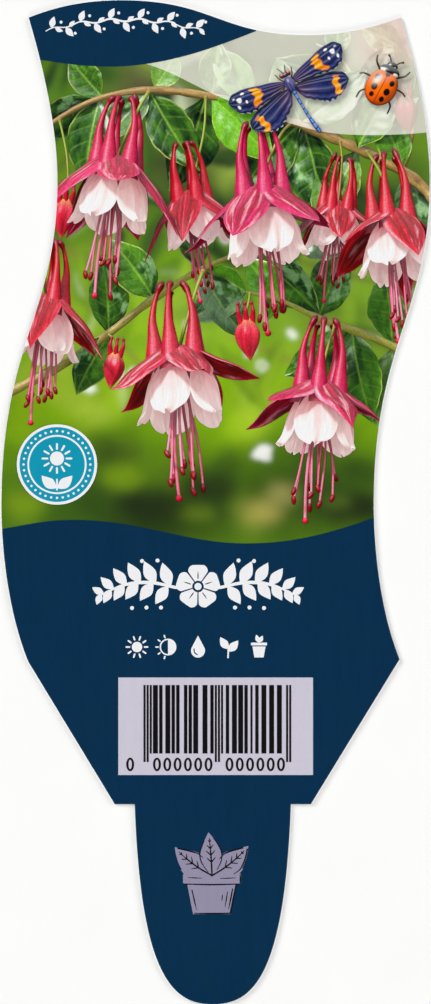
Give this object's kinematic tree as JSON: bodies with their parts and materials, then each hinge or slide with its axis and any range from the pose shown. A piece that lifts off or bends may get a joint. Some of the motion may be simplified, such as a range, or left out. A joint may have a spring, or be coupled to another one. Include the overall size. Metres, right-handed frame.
{
  "type": "stick-in plant label",
  "caption": "Flat die-cut plastic plant label with wavy sides and top, chamfered shoulders, a square step and a rounded stake that is pushed into the soil of a pot.",
  "frame": {"origin": "centre of the label's outline box, on its underside", "axes": "+Y along the label from the stake's tip to the head, +X across it to the right as the front is read, +Z out of the printed front"},
  "size_m": [0.073, 0.171, 0.0005],
  "materials": {
    "printed_plastic": "white polypropylene sheet, offset printed edge to edge, satin varnish"
  },
  "bodies": {
    "root": {"label_sheet": "printed_plastic"}
  },
  "joints": []
}
